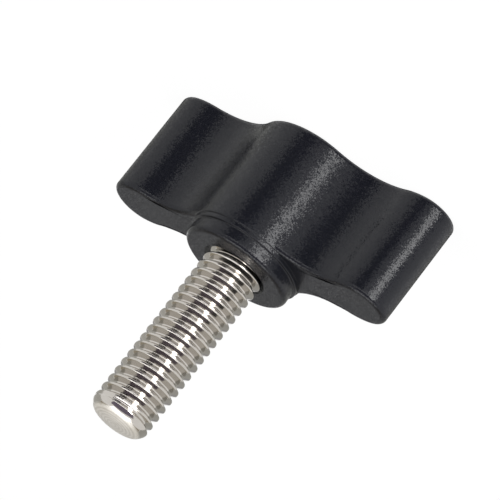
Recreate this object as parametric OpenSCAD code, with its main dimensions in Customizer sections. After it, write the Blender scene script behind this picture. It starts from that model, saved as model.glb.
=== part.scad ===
// Thumb screw: a two-winged moulded knob on a threaded metal stud.
// The model stands on the knob's flat outer face at z = 0, with the stud pointing up along +Z
// and the wings along X. The thread itself is a surface finish, so the stud is drawn plain at
// the diameter of its thread crests.

/* [Knob] */
// Length over both wings
wing_span = 26; // [24:0.5:32]
// Height from the flat outer face to the underside of the wings
knob_h = 9.3; // [7:0.1:12]
// Diameter of the round hub
hub_d = 9.7; // [9:0.1:10.6]
// Radius of the round end of each wing
tip_r = 2.32; // [2:0.05:2.8]
// Radius of the full cheek beside each wing end
lobe_r = 4.1; // [3.4:0.1:5]
// Angle round the wing end at which the cheek takes over
lobe_turn = 80.7; // [70:0.5:86]
// Radius of the hollow waist between hub and wing end
waist_r = 5.83; // [5:0.1:7]
// Radius of the rounded rims at both faces
rim_r = 0.4; // [0.2:0.05:0.6]

/* [Collar] */
// Height of the collar below the wings, to its clamping face
collar_h = 1.55; // [1.4:0.05:3]
// Radius of the collar's rounded edge
collar_edge_r = 0.4; // [0.1:0.05:0.7]
// Radius of the hub's edge, level with the wings' underside
hub_edge_r = 0.08; // [0.02:0.01:0.09]
// Amount that the foot stands below the wings
foot_drop = 0.35; // [0.2:0.01:0.5]
// Amount that the foot stands in from the hub
foot_in = 0.1; // [0.1:0.01:0.3]
// Width of the foot's ledge, from its side to the collar's
ledge_w = 0.2; // [0.18:0.01:0.5]
// Radius of the foot's rounded edge and of the hollow corner round the collar
foot_round = 0.08; // [0.02:0.01:0.09]
// Width and depth of the bevel round the stud's hole
hole_bevel = 0.25; // [0.1:0.05:0.4]

/* [Stud] */
// Diameter over the thread crests
thread_d = 4.9; // [4:0.05:5.4]
// Length of stud past the clamping face
stud_len = 15.2; // [8:0.1:30]
// Length of plain neck that shows between the clamping face and the first full crest
neck_out = 0.15; // [0.1:0.05:0.8]
// Diameter of the flat end of the stud
end_d = 3.96; // [3:0.05:3.98]
// Length of the bevel at the stud's end
end_bevel = 1; // [0.5:0.1:1.5]
// Diameter of the plain neck between the head and the thread
neck_d = 4.5; // [3.5:0.05:4.85]
// Length of stud buried in the knob, with its head
buried_len = 8.2; // [6:0.1:8.5]
// Width across the flats of the buried head
head_af = 6.4; // [6:0.1:7]
// Height of the buried head
head_h = 3; // [2:0.1:4]

/* [Hidden] */

$fn = 96;
round_steps = 5;    // straight steps in each quarter-round
blend_in = 0.05;    // how far the waist's arc dips into the hub, so that the two cross cleanly
head_sides = 8;     // the buried head is an octagon, so the knob can't turn on it

hub_r = hub_d / 2;
foot_r = hub_r - foot_in;
collar_r = foot_r - ledge_w;
ledge_z = knob_h + foot_drop;
face_z = knob_h + collar_h;
stud_end_z = face_z + stud_len;
head_z = face_z - buried_len;
neck_z = head_z + head_h;
mouth_z = face_z - hole_bevel;
thread_z = face_z + neck_out;

// Points along an arc about centre c, from angle a0 to a1.
function way(a) = [cos(a), sin(a)];
function heading(v) = atan2(v[1], v[0]);
function arc(c, r, a0, a1, steps) = [for (i = [0:steps]) c + r * way(a0 + (a1 - a0) * i / steps)];
function rest_of(points) = [for (i = [1:len(points) - 1]) points[i]];
function flipped(points) = [for (i = [len(points) - 1:-1:0]) points[i]];

// Centres of the wing end, the cheek and the waist. The waist touches both the cheek and a
// circle just inside the hub, so its centre lies their radii plus its own away from theirs.
tip_c = [wing_span / 2 - tip_r, 0];
lobe_c = tip_c - (lobe_r - tip_r) * way(lobe_turn);
to_lobe = lobe_r + waist_r;
to_hub = hub_r - blend_in + waist_r;
lobe_off = norm(lobe_c);
along = (to_lobe ^ 2 - to_hub ^ 2 + lobe_off ^ 2) / (2 * lobe_off);
across = sqrt(to_lobe ^ 2 - along ^ 2);
back = -lobe_c / lobe_off;
waist_c = lobe_c + along * back + across * [back[1], -back[0]];
lobe_end = heading(waist_c - lobe_c);

// Outline of both wings in plan, drawn in from its full size by inset: one quarter runs round
// the wing end, the cheek and the waist into the hub, and the other three mirror it.
function quarter_plan(inset) = concat(
    arc(tip_c, tip_r - inset, 0, lobe_turn, 10),
    rest_of(arc(lobe_c, lobe_r - inset, lobe_turn, lobe_end, 4)),
    rest_of(arc(waist_c, waist_r + inset, lobe_end + 180, heading(waist_c) + 180, 9)));
function half_plan(inset) = let (q = quarter_plan(inset)) concat(q, [for (p = flipped(q)) [-p[0], p[1]]]);
function plan(inset) = let (h = half_plan(inset), n = len(h))
    concat(h, [for (i = [n - 2:-1:1]) [h[i][0], -h[i][1]]]);

// The wings' solid: the outline at each height, drawn in round both rims.
module wings() {
    lower = [for (p = arc([rim_r, rim_r], rim_r, -90, 0, round_steps)) [rim_r - p[0] + rim_r, p[1]]];
    rings = concat(lower, [for (s = flipped(lower)) [s[0], knob_h - s[1]]]);
    n = len(plan(0));
    last = (len(rings) - 1) * n;
    points = [for (s = rings, p = plan(s[0])) [p[0], p[1], s[1]]];
    walls = [for (k = [0:len(rings) - 2], j = [0:n - 1]) let (a = k * n + j, b = k * n + (j + 1) % n)
        each [[a, a + n, b + n], [a, b + n, b]]];
    // Each face is closed by strips that run straight across, from an upper point to its mirror.
    strips = [for (j = [0:n / 2 - 1]) let (a = (n - j) % n, b = n - j - 1)
        each [[j, j + 1, b], [j, b, a]]];
    shut = [for (t = strips) if (t[0] != t[1] && t[1] != t[2] && t[2] != t[0]) t];
    lid = [for (t = shut) [last + t[2], last + t[1], last + t[0]]];
    polyhedron(points, concat(shut, lid, walls));
}

// Hub, foot and collar in one turned form. The hub ends level with the wings, the foot is a shallow
// step below them, and its ledge runs into the collar by a hollow corner.
module hub() {
    rotate_extrude() polygon(concat(
        [[0, 0]],
        arc([hub_r - rim_r, rim_r], rim_r, -90, 0, round_steps),
        arc([hub_r - hub_edge_r, knob_h - hub_edge_r], hub_edge_r, 0, 90, round_steps),
        [[foot_r, knob_h]],
        arc([foot_r - foot_round, ledge_z - foot_round], foot_round, 0, 90, round_steps),
        arc([collar_r + foot_round, ledge_z + foot_round], foot_round, 270, 180, round_steps),
        arc([collar_r - collar_edge_r, face_z - collar_edge_r], collar_edge_r, 0, 90, round_steps),
        [[0, face_z]]));
}

// Octagonal head that anchors the stud in the moulding.
module stud_head() {
    translate([0, 0, head_z]) rotate([0, 0, 180 / head_sides])
        cylinder(d = head_af / cos(180 / head_sides), h = head_h, $fn = head_sides);
}

// Plain neck from the head to where the thread begins, just past the clamping face.
module stud_neck() {
    translate([0, 0, neck_z]) cylinder(d = neck_d, h = thread_z - neck_z);
}

// The hole is moulded round the neck and the head, and opens in a bevel that clears the thread.
module stud_hole() {
    stud_head();
    stud_neck();
    translate([0, 0, mouth_z]) cylinder(d1 = neck_d, d2 = thread_d + 2 * hole_bevel, h = hole_bevel);
}

module wing_knob() {
    color("#1d1d21") difference() {
        union() {
            hub();
            wings();
        }
        stud_hole();
    }
}

module threaded_stud() {
    bevel_z = stud_end_z - end_bevel;
    color("#b9b6b0") {
        stud_head();
        stud_neck();
        translate([0, 0, thread_z]) cylinder(d = thread_d, h = bevel_z - thread_z);
        translate([0, 0, bevel_z]) cylinder(d1 = thread_d, d2 = end_d, h = end_bevel);
    }
}

wing_knob();
threaded_stud();
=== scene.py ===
# %% [markdown]
# # A wing screw, dressed for its picture
# This is a small hand-tightened screw: a black moulded knob with two wings, and a bright threaded
# stud. Its exact solids come from the part's own source and are loaded here as a fixed frame. The
# lesson gives that frame the surfaces of the real thing: a knob with soft rims and a fine moulded
# grain, a thread rolled turn by turn, and a light that shows both.

import math

import bmesh
import bpy
import numpy as np
from mathutils import Matrix, Vector


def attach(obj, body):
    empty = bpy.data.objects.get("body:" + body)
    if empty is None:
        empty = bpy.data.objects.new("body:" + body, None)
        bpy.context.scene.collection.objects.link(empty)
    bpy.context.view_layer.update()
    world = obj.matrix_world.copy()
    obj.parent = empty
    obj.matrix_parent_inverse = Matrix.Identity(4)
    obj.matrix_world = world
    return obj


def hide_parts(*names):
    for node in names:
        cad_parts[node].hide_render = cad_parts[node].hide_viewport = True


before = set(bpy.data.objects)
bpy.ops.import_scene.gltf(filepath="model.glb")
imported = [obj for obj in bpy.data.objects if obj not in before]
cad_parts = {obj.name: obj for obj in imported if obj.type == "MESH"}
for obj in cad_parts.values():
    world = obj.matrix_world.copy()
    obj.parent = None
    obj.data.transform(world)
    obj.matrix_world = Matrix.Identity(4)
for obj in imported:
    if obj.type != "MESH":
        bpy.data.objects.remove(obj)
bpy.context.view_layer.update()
MM = 0.001

# %% [markdown]
# ## The camera
# The photograph was taken with a long lens, a little above the wings and rolled over, so that the
# stud points to the lower left. The place below came from fitting the outline of the knob and the
# width and pitch of the thread.

# %% Place the camera
VIEW_FROM = Vector((155.81, 221.61, 105.82)) * MM
VIEW_ALONG = Vector((-0.54140, -0.77026, -0.33703)).normalized()
ROLL = math.radians(142.041)
LENS = 277.86


level_right = VIEW_ALONG.cross(Vector((0, 0, 1))).normalized()
picture_up = level_right.cross(VIEW_ALONG) * math.cos(ROLL) + level_right * math.sin(ROLL)
camera = bpy.data.objects.new("camera", bpy.data.cameras.new("camera"))
camera.data.lens = LENS
camera.data.clip_start = 0.01
turn = Matrix((VIEW_ALONG.cross(picture_up), picture_up, -VIEW_ALONG)).transposed()
camera.matrix_world = Matrix.Translation(VIEW_FROM) @ turn.to_4x4()
bpy.context.scene.collection.objects.link(camera)
bpy.context.scene.camera = camera
print("camera", round(VIEW_FROM.length / MM), "mm away, lens", LENS, "mm")

# %% [markdown]
# ## Two helpers for materials
# Colours are written as the hex values a picture editor shows, and one function turns them into
# the linear values that the shader works with. Another adds a node to a tree, with its settings
# and its links, so that each material further down reads as a list.


# %% Colour and node helpers
def linear(hex_code):
    """Linear red, green, blue and alpha from an sRGB hex code."""
    parts = [int(hex_code[i:i + 2], 16) / 255 for i in (1, 3, 5)]
    return [p / 12.92 if p <= 0.04045 else ((p + 0.055) / 1.055) ** 2.4 for p in parts] + [1.0]


def add(tree, kind, inputs=None, **settings):
    """Add a node. inputs is {socket: a value, another node, or one of its outputs}."""
    node = tree.nodes.new(kind)
    for name, value in settings.items():
        setattr(node, name, value)
    for name, value in (inputs or {}).items():
        if isinstance(value, bpy.types.Node):
            value = next(output for output in value.outputs if output.enabled)
        if isinstance(value, bpy.types.NodeSocket):
            tree.links.new(value, node.inputs[name])
        else:
            node.inputs[name].default_value = value
    return node


def new_material(name):
    """An empty node material and its tree."""
    material = bpy.data.materials.new(name)
    material.use_nodes = True
    material.node_tree.nodes.clear()
    return material, material.node_tree


print("a mid grey, linear:", [round(v, 3) for v in linear("#808080")])

# %% [markdown]
# ## Black moulding
# The knob is glass-filled nylon, moulded in a tool whose walls were spark-eroded. The sparks leave
# fine craters in the steel, and the plastic copies them as a grain finer than a tenth of a
# millimetre. Light catches single grains, so a highlight breaks up into specks instead of a clean
# gloss, while the plastic between stays a very dark, slightly bluish grey. Handling polishes the
# grain a little unevenly, which a slow change of roughness shows.

# %% Make the moulded plastic
GRAIN_MM = 0.07
GRAIN_TILT = 0.21
PATCH_MM = 3.0


def moulded_plastic():
    """Spark-eroded black glass-filled nylon."""
    material, tree = new_material("spark_eroded_black_nylon")
    where = add(tree, "ShaderNodeTexCoord").outputs["Object"]
    craters = add(tree, "ShaderNodeTexVoronoi", {"Vector": where, "Scale": 1 / (GRAIN_MM * MM)})
    # Each crater faces its own way, a little off the surface, so that it flashes by itself.
    lean = add(tree, "ShaderNodeVectorMath", {0: craters.outputs["Color"], 1: (0.5, 0.5, 0.5)},
               operation="SUBTRACT")
    lean = add(tree, "ShaderNodeVectorMath", {0: lean, "Scale": GRAIN_TILT}, operation="SCALE")
    facing = add(tree, "ShaderNodeNewGeometry").outputs["Normal"]
    facing = add(tree, "ShaderNodeVectorMath", {0: facing, 1: lean}, operation="ADD")
    facing = add(tree, "ShaderNodeVectorMath", {0: facing}, operation="NORMALIZE")
    patch = add(tree, "ShaderNodeTexNoise", {"Vector": where, "Scale": 1 / (PATCH_MM * MM),
                                             "Detail": 3.0, "Roughness": 0.6})
    # Some craters are glossier than others, and a slow change over the part comes from handling.
    gloss = add(tree, "ShaderNodeSeparateColor", {"Color": craters.outputs["Color"]}).outputs["Red"]
    gloss = add(tree, "ShaderNodeMapRange", {"Value": gloss, "To Min": 0.11, "To Max": 0.24})
    rough = add(tree, "ShaderNodeMapRange", {"Value": patch.outputs["Fac"], "From Min": 0.3,
                                             "From Max": 0.7, "To Min": 0.0, "To Max": 0.04})
    rough = add(tree, "ShaderNodeMath", {0: gloss, 1: rough}, operation="ADD")
    tint = add(tree, "ShaderNodeMix", {"Factor": craters.outputs["Distance"], "A": linear("#111217"),
                                       "B": linear("#16171d")}, data_type="RGBA")
    shader = add(tree, "ShaderNodeBsdfPrincipled",
                 {"Base Color": tint, "Roughness": rough, "Normal": facing, "IOR": 1.53,
                  "Specular IOR Level": 0.27})
    add(tree, "ShaderNodeOutputMaterial", {"Surface": shader})
    return material


BLACK_NYLON = moulded_plastic()
print("grain is", GRAIN_MM, "mm across")

# %% [markdown]
# ## Bright rolled steel
# The stud is stainless steel. Its thread was rolled, not cut: hardened dies squeezed the metal, so
# the flanks are burnished almost to a mirror, with fine marks that run round the stud along the
# thread. Its flat end was sheared and turned, which leaves rings round the middle.

# %% Make the rolled steel
DRAW_MM = 0.05
# The real rings are finer. They are drawn this coarse so that they show in the picture.
RING_MM = 0.3


def rolled_steel(end_z):
    """Rolled stainless steel, with turned rings on the end face, above the height end_z."""
    material, tree = new_material("rolled_stainless_steel")
    where = add(tree, "ShaderNodeTexCoord").outputs["Object"]
    split = add(tree, "ShaderNodeSeparateXYZ", {"Vector": where})
    flat = add(tree, "ShaderNodeCombineXYZ", {"X": split.outputs["X"], "Y": split.outputs["Y"]})
    radius = add(tree, "ShaderNodeVectorMath", {0: flat}, operation="LENGTH").outputs["Value"]
    marks = add(tree, "ShaderNodeMapping", {"Vector": where, "Scale": (0.12, 0.12, 1.0)})
    draw = add(tree, "ShaderNodeTexNoise", {"Vector": marks, "Scale": 1 / (DRAW_MM * MM),
                                            "Detail": 3.0, "Roughness": 0.6}).outputs["Fac"]
    turns = add(tree, "ShaderNodeMath", {0: radius, 1: 2 * math.pi / (RING_MM * MM)},
                operation="MULTIPLY")
    rings = add(tree, "ShaderNodeMath", {0: turns}, operation="SINE")
    on_end = add(tree, "ShaderNodeMapRange", {"Value": split.outputs["Z"], "From Min": end_z,
                                              "From Max": end_z + 0.1 * MM})
    height = add(tree, "ShaderNodeMix", {"Factor": on_end, "A": draw, "B": rings})
    bump = add(tree, "ShaderNodeBump", {"Height": height, "Strength": 0.2, "Distance": 0.01 * MM})
    stain = add(tree, "ShaderNodeTexNoise", {"Vector": where, "Scale": 1 / (1.2 * MM),
                                             "Detail": 4.0, "Roughness": 0.6}).outputs["Fac"]
    rough = add(tree, "ShaderNodeMapRange", {"Value": stain, "From Min": 0.3, "From Max": 0.7,
                                             "To Min": 0.09, "To Max": 0.14})
    rough = add(tree, "ShaderNodeMix", {"Factor": on_end, "A": rough, "B": 0.5})
    tint = add(tree, "ShaderNodeMix", {"Factor": stain, "A": linear("#bcb7b0"), "B": linear("#cdc9c3")},
               data_type="RGBA")
    # The end face is duller and paler, with turned rings that the stains break up.
    worn = add(tree, "ShaderNodeMath", {0: rings, 1: 0.2, 2: stain}, operation="MULTIPLY_ADD")
    end_tint = add(tree, "ShaderNodeMix", {"Factor": worn, "A": linear("#cfcbc4"), "B": linear("#fbf8f2")},
                   data_type="RGBA")
    tint = add(tree, "ShaderNodeMix", {"Factor": on_end, "A": tint, "B": end_tint}, data_type="RGBA")
    shader = add(tree, "ShaderNodeBsdfPrincipled",
                 {"Base Color": tint, "Roughness": rough, "Normal": bump, "Metallic": 1.0})
    add(tree, "ShaderNodeOutputMaterial", {"Surface": shader})
    return material


# %% [markdown]
# ## The outline of the wings
# Seen along the stud, the knob is drawn with four arcs, each running smoothly into the next: the
# round wing end, a fuller cheek beside it, the hollow waist for the fingers, and the hub. One
# quarter is worked out and mirrored. Every point keeps the direction that faces straight out, so
# that the same outline can be drawn in a little, to round the rims.

# %% Draw the outline
KNOB_H = 9.3
HUB_R = 4.85
RIM_R = 0.4
BODY_R = HUB_R - 0.004
TIP_R, LOBE_R, WAIST_R = 2.32, 4.1, 5.83
LOBE_TURN = math.radians(80.7)
HALF_SPAN = 13.0


def way(angle):
    return np.array([math.cos(angle), math.sin(angle)])


def outline():
    """Points, outward directions and steady angles round the knob's outline, in mm."""
    tip = np.array([HALF_SPAN - TIP_R, 0.0])
    lobe = tip - (LOBE_R - TIP_R) * way(LOBE_TURN)
    off = np.linalg.norm(lobe)
    along = ((LOBE_R + WAIST_R) ** 2 - (BODY_R + WAIST_R) ** 2 + off ** 2) / (2 * off)
    across = math.sqrt((LOBE_R + WAIST_R) ** 2 - along ** 2)
    back = -lobe / off
    waist = lobe + along * back + across * np.array([back[1], -back[0]])
    lobe_end = math.atan2(*(waist - lobe)[::-1])
    hub_start = math.atan2(waist[1], waist[0])
    arcs = [(tip, TIP_R, 0.0, LOBE_TURN, 30, 1), (lobe, LOBE_R, LOBE_TURN, lobe_end, 22, 1),
            (waist, WAIST_R, lobe_end + math.pi, hub_start + math.pi, 44, -1),
            (np.zeros(2), BODY_R, hub_start, math.pi / 2, 30, 1)]
    points, faces = [], []
    for centre, radius, start, end, steps, side in arcs:
        for i in range(steps):
            ray = way(start + (end - start) * i / steps)
            points.append(centre + radius * ray)
            faces.append(side * ray)
    points.append(np.array([0.0, BODY_R]))
    faces.append(np.array([0.0, 1.0]))
    points, faces = np.array(points), np.array(faces)
    mirror = np.array([-1.0, 1.0])
    half = np.vstack([points, (points * mirror)[-2::-1]])
    half_faces = np.vstack([faces, (faces * mirror)[-2::-1]])
    flip = np.array([1.0, -1.0])
    loop = np.vstack([half, (half * flip)[-2:0:-1]])
    loop_faces = np.vstack([half_faces, (half_faces * flip)[-2:0:-1]])
    steady = np.linspace(0, 2 * math.pi, len(loop), endpoint=False)
    return loop, loop_faces, steady


LOOP, LOOP_OUT, LOOP_ANGLE = outline()
print(len(LOOP), "points round the outline,", round(2 * LOOP[:, 1].max(), 2), "mm over the hub")

# %% [markdown]
# ## From outline to knob
# The body is a stack of such outlines: drawn in and low for the rim, full size up the side, and
# drawn in again for the other rim. Stacking loops gives clean bands of four-sided faces, with extra
# loops close to each rim so that the light bends over a real radius and the faces stay flat. The
# collar is turned on top of it like a lathe part, because it is round: a shallow foot that stands
# in from the hub, a ledge with a hollow corner, the collar's straight side and rounded edge, and the
# flat face that clamps.


# %% Stack loops into a closed form
def closed_stack(name, loops):
    """A closed mesh from loops of equal length, given in mm from the bottom up, with two poles."""
    count = len(loops[0])
    corners = np.vstack(loops + [loops[0].mean(axis=0), loops[-1].mean(axis=0)]) * MM
    quads = []
    for k in range(len(loops) - 1):
        for j in range(count):
            j_next = (j + 1) % count
            quads.append((k * count + j, k * count + j_next, (k + 1) * count + j_next,
                          (k + 1) * count + j))
    low, high = len(loops) * count, len(loops) * count + 1
    top = (len(loops) - 1) * count
    quads += [(low, (j + 1) % count, j) for j in range(count)]
    quads += [(high, top + j, top + (j + 1) % count) for j in range(count)]
    mesh = bpy.data.meshes.new(name)
    mesh.from_pydata(corners.tolist(), [], quads)
    mesh.polygons.foreach_set("use_smooth", [True] * len(mesh.polygons))
    return mesh


def level(shape, z):
    return np.column_stack([shape, np.full(len(shape), float(z))])


def quarter(steps):
    return [math.radians(90) * i / steps for i in range(steps + 1)]


def body_loops():
    """The winged body, from its flat outer face to the underside of the wings."""
    disc = 1.5 * np.column_stack([np.cos(LOOP_ANGLE), np.sin(LOOP_ANGLE)])
    flat = LOOP - (RIM_R + 0.06) * LOOP_OUT
    loops = [level(disc + (flat - disc) * s, 0) for s in (0.0, 0.35, 0.7, 0.92, 1.0)]
    for a in quarter(8):
        loops.append(level(LOOP - RIM_R * (1 - math.sin(a)) * LOOP_OUT, RIM_R * (1 - math.cos(a))))
    side = [0.06, 0.3, 1.2, 2.8, 4.65, 6.5, 8.1, 9.0, 9.24]
    loops += [level(LOOP, RIM_R + (KNOB_H - 2 * RIM_R) * (s - 0.06) / 9.18) for s in side[1:-1]]
    for a in quarter(8):
        loops.append(level(LOOP - RIM_R * (1 - math.cos(a)) * LOOP_OUT,
                           KNOB_H - RIM_R + RIM_R * math.sin(a)))
    loops += [level(disc + (flat - disc) * s, KNOB_H) for s in (1.0, 0.92, 0.7, 0.35, 0.0)]
    return loops


# %% Turn the collar
HUB_EDGE, FOOT_R, FOOT_ROUND, LEDGE_Z = 0.08, 4.75, 0.08, 9.65
COLLAR_R, COLLAR_EDGE, FACE_Z = 4.55, 0.4, 10.85
THREAD_R, BEVEL, FILL_R = 2.45, 0.25, 1.9


def bend(r, z, radius, start, end, steps):
    """Radius and height along an arc about (r, z), from one angle in degrees to another."""
    angles = [math.radians(start + (end - start) * i / steps) for i in range(steps + 1)]
    return [(r + radius * math.cos(a), z + radius * math.sin(a)) for a in angles]


def collar_profile():
    """Radius and height along the collar's skin, in mm, from inside the hub to the stud's hole."""
    line = [(0.6, 7.9), (HUB_R - 0.06, 7.9), (HUB_R - 0.02, 8.2), (HUB_R - 0.006, 8.5), (HUB_R, 8.8),
            (HUB_R, KNOB_H - HUB_EDGE - 0.06)]
    line += bend(HUB_R - HUB_EDGE, KNOB_H - HUB_EDGE, HUB_EDGE, 0, 90, 6)
    line += [(FOOT_R + 0.005, KNOB_H), (FOOT_R, KNOB_H + 0.01), (FOOT_R, KNOB_H + 0.08),
             (FOOT_R, LEDGE_Z - FOOT_ROUND - 0.06)]
    line += bend(FOOT_R - FOOT_ROUND, LEDGE_Z - FOOT_ROUND, FOOT_ROUND, 0, 90, 6)
    line += bend(COLLAR_R + FOOT_ROUND, LEDGE_Z + FOOT_ROUND, FOOT_ROUND, 270, 180, 6)
    line += [(COLLAR_R, LEDGE_Z + 0.2), (COLLAR_R, FACE_Z - COLLAR_EDGE - 0.08)]
    line += bend(COLLAR_R - COLLAR_EDGE, FACE_Z - COLLAR_EDGE, COLLAR_EDGE, 0, 90, 12)
    line += [(COLLAR_R - COLLAR_EDGE - 0.06, FACE_Z), (THREAD_R + BEVEL + 0.06, FACE_Z)]
    line += bend(THREAD_R + BEVEL + 0.02, FACE_Z - 0.02, 0.02, 90, 180, 2)
    line += [(THREAD_R + 0.02, FACE_Z - BEVEL + 0.02), (THREAD_R, FACE_Z - BEVEL),
             (FILL_R, FACE_Z - BEVEL - 0.02), (FILL_R, KNOB_H), (0.5, KNOB_H)]
    return line


def turned_loops(profile, steps=224):
    ring = np.array([way(2 * math.pi * i / steps) for i in range(steps)])
    return [level(radius * ring, z) for radius, z in profile]


# %% Join body and collar
def join_meshes(name, meshes):
    """One object at the origin that holds all the given closed meshes."""
    shape = bmesh.new()
    for mesh in meshes:
        shape.from_mesh(mesh)
        bpy.data.meshes.remove(mesh)
    bmesh.ops.recalc_face_normals(shape, faces=shape.faces)
    whole = bpy.data.meshes.new(name)
    shape.to_mesh(whole)
    shape.free()
    piece = bpy.data.objects.new(name, whole)
    bpy.context.scene.collection.objects.link(piece)
    return piece


knob = join_meshes("winged_knob", [closed_stack("body", body_loops()),
                                   closed_stack("collar", turned_loops(collar_profile()))])
knob.data.materials.append(BLACK_NYLON)
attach(knob, "root")
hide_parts("wing_knob")
print("knob:", len(knob.data.polygons), "faces")

# %% [markdown]
# ## The thread
# A thread follows a plain rule: the same tooth outline, carried round the stud and moved along it
# by one pitch each turn. Geometry Nodes suit that well. A flat grid is wrapped up: its long way
# runs round and round, its short way crosses one tooth. Smooth minimum and maximum round the crest
# and the root. Towards the end of the stud the groove grows shallow and the stud is rounded over,
# as the dies leave it.

# %% Build the thread's node tree
PITCH, CREST_R, ROOT_R = 0.8, 2.44, 1.98
STUD_END, END_R, END_BEVEL = 26.05, 2.14, 0.63
THREAD_FROM, NECK_R = 9.9, 2.25
THREAD_PHASE = 0.637
TOOTH_STEPS, TURN_STEPS = 24, 96


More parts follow.
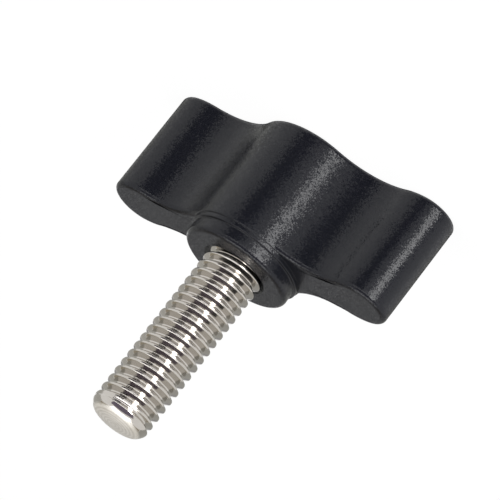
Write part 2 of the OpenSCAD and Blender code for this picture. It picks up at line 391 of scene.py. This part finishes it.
def thread_tree():
    """Geometry Nodes tree of a right-hand thread along +Z. All lengths are in metres."""
    tree = bpy.data.node_groups.new("rolled_thread", "GeometryNodeTree")
    tree.interface.new_socket("Geometry", in_out="OUTPUT", socket_type="NodeSocketGeometry")
    sizes = {}
    for name in ("Pitch", "Crest Radius", "Root Radius", "From", "To", "Neck Radius", "End Radius",
                 "Bevel", "Phase"):
        sizes[name] = tree.interface.new_socket(name, in_out="INPUT", socket_type="NodeSocketFloat")
    sizes["Material"] = tree.interface.new_socket("Material", in_out="INPUT",
                                                  socket_type="NodeSocketMaterial")
    ins = add(tree, "NodeGroupInput").outputs
    pitch, crest, root = ins["Pitch"], ins["Crest Radius"], ins["Root Radius"]
    span = add(tree, "ShaderNodeMath", {0: ins["To"], 1: ins["From"]}, operation="SUBTRACT")
    turns = add(tree, "ShaderNodeMath", {0: span, 1: pitch}, operation="DIVIDE")
    turns = add(tree, "ShaderNodeMath", {0: turns}, operation="CEIL")
    turns = add(tree, "ShaderNodeMath", {0: turns, 1: 2.0}, operation="ADD")
    around = add(tree, "ShaderNodeMath", {0: turns, 1: TURN_STEPS, 2: 1.0}, operation="MULTIPLY_ADD")
    grid = add(tree, "GeometryNodeMeshGrid", {"Size X": turns, "Vertices X": around, "Size Y": 1.0,
                                              "Vertices Y": TOOTH_STEPS + 1})
    place = add(tree, "ShaderNodeSeparateXYZ", {0: add(tree, "GeometryNodeInputPosition")})
    turn = add(tree, "ShaderNodeMath", {0: turns, 1: 0.5, 2: place.outputs["X"]},
               operation="MULTIPLY_ADD")
    tooth = place.outputs["Y"]
    # Height along the stud: one pitch a turn, and up to half a pitch either way across the tooth.
    rise = add(tree, "ShaderNodeMath", {0: turn, 1: tooth}, operation="ADD")
    start = add(tree, "ShaderNodeMath", {0: ins["From"], 1: pitch}, operation="SUBTRACT")
    z = add(tree, "ShaderNodeMath", {0: rise, 1: pitch, 2: start}, operation="MULTIPLY_ADD")
    z = add(tree, "ShaderNodeMath", {0: z, 1: ins["To"]}, operation="MINIMUM")
    z = add(tree, "ShaderNodeMath", {0: z, 1: ins["From"]}, operation="MAXIMUM")
    # Radius: flanks at 30 degrees to the tooth's middle plane, rounded at crest and root.
    off = add(tree, "ShaderNodeMath", {0: tooth}, operation="ABSOLUTE")
    off = add(tree, "ShaderNodeMath", {0: off, 1: 0.085}, operation="SUBTRACT")
    off = add(tree, "ShaderNodeMath", {0: off, 1: pitch}, operation="MULTIPLY")
    flank = add(tree, "ShaderNodeMath", {0: off, 1: -math.sqrt(3), 2: crest}, operation="MULTIPLY_ADD")
    soft = add(tree, "ShaderNodeMath", {0: pitch, 1: 0.09}, operation="MULTIPLY")
    radius = add(tree, "ShaderNodeMath", {0: flank, 1: crest, 2: soft}, operation="SMOOTH_MIN")
    radius = add(tree, "ShaderNodeMath", {0: radius, 1: root, 2: soft}, operation="SMOOTH_MAX")
    # The groove starts inside the collar and runs out again where the end is rounded.
    past_start = add(tree, "ShaderNodeMath", {0: z, 1: ins["From"]}, operation="SUBTRACT")
    deep = add(tree, "ShaderNodeMapRange", {"Value": past_start, "From Min": 0.1 * MM,
                                            "From Max": 0.6 * MM})
    to_end = add(tree, "ShaderNodeMath", {0: ins["To"], 1: z}, operation="SUBTRACT")
    to_end = add(tree, "ShaderNodeMath", {0: to_end, 1: ins["Bevel"]}, operation="DIVIDE")
    near_end = add(tree, "ShaderNodeMapRange", {"Value": to_end, "From Min": 0.5, "From Max": 1.6},
                   interpolation_type="SMOOTHSTEP")
    depth = add(tree, "ShaderNodeMath", {0: deep, 1: near_end}, operation="MULTIPLY")
    radius = add(tree, "ShaderNodeMath", {0: radius, 1: crest}, operation="SUBTRACT")
    radius = add(tree, "ShaderNodeMath", {0: radius, 1: depth, 2: crest}, operation="MULTIPLY_ADD")
    # The end is rounded over its last stretch, and a cone steps down to the neck in the collar.
    drop = add(tree, "ShaderNodeMath", {0: ins["End Radius"], 1: crest}, operation="SUBTRACT")
    left = add(tree, "ShaderNodeMath", {0: 1.0, 1: to_end}, operation="SUBTRACT")
    left = add(tree, "ShaderNodeMath", {0: left, 1: 0.0}, operation="MAXIMUM")
    left = add(tree, "ShaderNodeMath", {0: left, 1: 2.0}, operation="POWER")
    bevel = add(tree, "ShaderNodeMath", {0: left, 1: drop, 2: crest}, operation="MULTIPLY_ADD")
    sharp = add(tree, "ShaderNodeMath", {0: soft, 1: 0.3}, operation="MULTIPLY")
    radius = add(tree, "ShaderNodeMath", {0: radius, 1: bevel, 2: sharp}, operation="SMOOTH_MIN")
    step = add(tree, "ShaderNodeMath", {0: past_start, 1: ins["Neck Radius"]}, operation="ADD")
    radius = add(tree, "ShaderNodeMath", {0: radius, 1: step}, operation="MINIMUM")
    angle = add(tree, "ShaderNodeMath", {0: turn, 1: ins["Phase"]}, operation="ADD")
    angle = add(tree, "ShaderNodeMath", {0: angle, 1: 2 * math.pi}, operation="MULTIPLY")
    x = add(tree, "ShaderNodeMath", {0: angle}, operation="COSINE")
    x = add(tree, "ShaderNodeMath", {0: x, 1: radius}, operation="MULTIPLY")
    y = add(tree, "ShaderNodeMath", {0: angle}, operation="SINE")
    y = add(tree, "ShaderNodeMath", {0: y, 1: radius}, operation="MULTIPLY")
    spot = add(tree, "ShaderNodeCombineXYZ", {"X": x, "Y": y, "Z": z})
    wrapped = add(tree, "GeometryNodeSetPosition", {"Geometry": grid, "Position": spot})
    welded = add(tree, "GeometryNodeMergeByDistance", {"Geometry": wrapped, "Distance": 0.004 * MM})
    smooth = add(tree, "GeometryNodeSetShadeSmooth", {0: welded})
    real = add(tree, "GeometryNodeRealizeInstances", {0: smooth})
    done = add(tree, "GeometryNodeSetMaterial", {"Geometry": real, "Material": ins["Material"]})
    add(tree, "NodeGroupOutput", {0: done})
    return tree, sizes


def wrap_thread(material):
    """Run the tree once and keep its result as a plain mesh."""
    tree, sizes = thread_tree()
    host = bpy.data.objects.new("thread_host", bpy.data.meshes.new("thread_host"))
    bpy.context.scene.collection.objects.link(host)
    modifier = host.modifiers.new("thread", "NODES")
    modifier.node_group = tree
    lengths = {"Pitch": PITCH, "Crest Radius": CREST_R, "Root Radius": ROOT_R, "From": THREAD_FROM,
               "To": STUD_END - END_DOME, "Neck Radius": NECK_R, "End Radius": END_R, "Bevel": END_BEVEL}
    for name, value in lengths.items():
        modifier[sizes[name].identifier] = value * MM
    modifier[sizes["Phase"].identifier] = THREAD_PHASE
    modifier[sizes["Material"].identifier] = material
    bpy.context.view_layer.update()
    result = host.evaluated_get(bpy.context.evaluated_depsgraph_get())
    mesh = bpy.data.meshes.new_from_object(result)
    bpy.data.objects.remove(host)
    return mesh


# %% Make the stud
END_DOME = 0.42
NECK_Z, HEAD_Z, HEAD_AF = 5.65, 2.65, 6.4
STEEL = rolled_steel((STUD_END - END_DOME) * MM)


def close_edge(mesh, z, rings):
    """Close the mesh's open edge at height z through rings of (radius, height), the last a point."""
    shape = bmesh.new()
    shape.from_mesh(mesh)
    rim = [e for e in shape.edges if e.is_boundary
           and all(abs(v.co.z / MM - z) < 0.01 for v in e.verts)]
    for radius, height in rings[:-1]:
        grown = bmesh.ops.extrude_edge_only(shape, edges=rim)["geom"]
        for v in grown:
            if isinstance(v, bmesh.types.BMVert):
                ray = v.co.xy.normalized() * radius * MM
                v.co = Vector((ray.x, ray.y, height * MM))
        rim = [e for e in grown if isinstance(e, bmesh.types.BMEdge)]
    middle = shape.verts.new((0, 0, rings[-1][1] * MM))
    for e in rim:
        shape.faces.new((e.verts[0], e.verts[1], middle))
    for face in shape.faces:
        face.smooth = True
    print("closed", len(rim), "edges at", z, "mm; open edges left:",
          sum(e.is_boundary for e in shape.edges))
    shape.to_mesh(mesh)
    shape.free()


thread = wrap_thread(STEEL)
END_Z = STUD_END - END_DOME
END_DROPS = [(2.06, 0.345), (1.96, 0.27), (1.84, 0.215), (1.7, 0.165), (1.5, 0.12), (1.3, 0.085),
             (1.0, 0.048), (0.7, 0.023), (0.35, 0.006), (0.0, 0.0)]
close_edge(thread, END_Z, [(radius, STUD_END - drop) for radius, drop in END_DROPS])
close_edge(thread, THREAD_FROM, [(NECK_R, THREAD_FROM - 0.05), (NECK_R, NECK_Z), (NECK_R, NECK_Z - 0.3),
                                 (1.0, NECK_Z - 0.3), (0.0, NECK_Z - 0.3)])
eighth = math.pi / 8
ring = HEAD_AF / 2 / math.cos(eighth) * np.array([way(eighth * (2 * i + 1)) for i in range(8)])
head = closed_stack("head", [level(ring * 0.9, HEAD_Z), level(ring, HEAD_Z + 0.2),
                             level(ring, NECK_Z - 0.2), level(ring * 0.9, NECK_Z)])
stud = join_meshes("rolled_stud", [thread, head])
stud.data.materials.clear()
stud.data.materials.append(STEEL)
for face in stud.data.polygons:
    face.material_index = 0
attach(stud, "root")
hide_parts("threaded_stud")
print("stud:", len(stud.data.polygons), "faces")

# %% [markdown]
# ## Floor, light and background
# The knob stands on a white table. Soft boxes are lamps with a large face: the larger the face, the
# softer the edge of its reflection, and on polished steel and dark plastic the reflections are most
# of what is seen. The key stands beside the camera and draws the lit bands, a high box lights the
# knob's far edges, and a low strip draws fine lines along the crests. Photographers also set grey
# and black cards round bright metal, so that the flanks of the thread stand out against its roots:
# dark violet ones in front, paler ones at the sides. The table lets light and reflections through
# from below, like a table lit from beneath. The white ground comes from the floor's own colour for
# the camera, not from more light, and it keeps a faint shadow under the knob.


# %% Floor and world
def seen_share(tree):
    """1 for rays that the camera, a reflection or glass sends out, and 0 for all others."""
    path = add(tree, "ShaderNodeLightPath").outputs
    seen = add(tree, "ShaderNodeMath", {0: path["Is Camera Ray"], 1: path["Is Glossy Ray"]},
               operation="MAXIMUM")
    return add(tree, "ShaderNodeMath", {0: seen, 1: path["Is Transmission Ray"]}, operation="MAXIMUM")


def white_table():
    material, tree = new_material("white_table")
    paint = add(tree, "ShaderNodeBsdfDiffuse", {"Color": linear("#e6e6e6")})
    glow = add(tree, "ShaderNodeEmission", {"Color": (1, 1, 1, 1), "Strength": 1.05})
    lit = add(tree, "ShaderNodeMixShader", {0: 0.9, 1: paint, 2: glow})
    final = add(tree, "ShaderNodeMixShader", {0: seen_share(tree), 1: paint, 2: lit})
    add(tree, "ShaderNodeOutputMaterial", {"Surface": final})
    return material


floor_mesh = bpy.data.meshes.new("table")
floor_mesh.from_pydata([(-3, -3, 0), (3, -3, 0), (3, 3, 0), (-3, 3, 0)], [], [(0, 1, 2, 3)])
floor = bpy.data.objects.new("table", floor_mesh)
bpy.context.scene.collection.objects.link(floor)
floor.data.materials.append(white_table())
floor.visible_shadow = floor.visible_glossy = False

world = bpy.data.worlds.new("white_room")
bpy.context.scene.world = world
bpy.context.scene.view_settings.view_transform = "Standard"
world.use_nodes = True
room = world.node_tree
room.nodes.clear()
room_level = add(room, "ShaderNodeMath", {0: seen_share(room), 1: 0.6, 2: 0.4},
                 operation="MULTIPLY_ADD")
room_light = add(room, "ShaderNodeBackground", {"Strength": room_level, "Color": (1, 1, 1, 1)})
add(room, "ShaderNodeOutputWorld", {"Surface": room_light})
print("floor and world are white for the camera and for reflections")

# %% Soft boxes and cards
AIM = Vector((0, 0, 12 * MM))


def aside(azimuth, elevation):
    """A place half a metre off, at degrees round the stud from +X and degrees above the table."""
    a, e = math.radians(azimuth), math.radians(elevation)
    towards = Vector((math.cos(e) * math.cos(a), math.cos(e) * math.sin(a), math.sin(e)))
    return Matrix.Translation(AIM + towards * 0.5) @ towards.to_track_quat("Z", "Y").to_matrix().to_4x4()


def soft_box(name, azimuth, elevation, width, height, watts):
    lamp = bpy.data.lights.new(name, "AREA")
    lamp.shape = "RECTANGLE"
    lamp.size, lamp.size_y, lamp.energy = width, height, watts
    holder = bpy.data.objects.new(name, lamp)
    holder.matrix_world = aside(azimuth, elevation)
    bpy.context.scene.collection.objects.link(holder)


def card(name, azimuth, elevation, width, height, hex_code):
    """A flat card that only reflections see."""
    w, h = width / 2, height / 2
    mesh = bpy.data.meshes.new(name)
    mesh.from_pydata([(-w, -h, 0), (w, -h, 0), (w, h, 0), (-w, h, 0)], [], [(0, 1, 2, 3)])
    piece = bpy.data.objects.new(name, mesh)
    piece.matrix_world = aside(azimuth, elevation)
    bpy.context.scene.collection.objects.link(piece)
    material, tree = new_material(name)
    paint = add(tree, "ShaderNodeEmission", {"Color": linear(hex_code), "Strength": 1.0})
    add(tree, "ShaderNodeOutputMaterial", {"Surface": paint})
    piece.data.materials.append(material)
    piece.visible_camera = piece.visible_shadow = piece.visible_diffuse = False


# Each row: name, azimuth, elevation, width, height, and the watts or the colour.
for row in (("key", 34, -5, 0.17, 0.62, 2.5), ("high_box", 55, 82, 0.56, 0.20, 1.0),
            ("strip_box", 57, 10, 1.20, 0.11, 0.9)):
    soft_box(*row)
for row in (("black_card", 97, -14, 0.30, 0.26, "#141414"), ("low_card", 55, -48, 1.00, 0.30, "#746c7a"),
            ("violet_card", 62, 44, 0.86, 0.34, "#787080"), ("grey_card", 235, 18, 0.32, 0.32, "#a4a4a4"),
            ("right_card", 272, 4, 0.52, 0.56, "#b2b2ae"), ("left_card", 192, 4, 0.44, 0.56, "#c0c0bc"),
            ("right_leaf", 275, 50, 0.40, 0.28, "#a69e8e"), ("left_leaf", 195, 50, 0.40, 0.28, "#a69e8e"),
            ("low_back_card", 235, -38, 0.50, 0.30, "#101010")):
    card(*row)
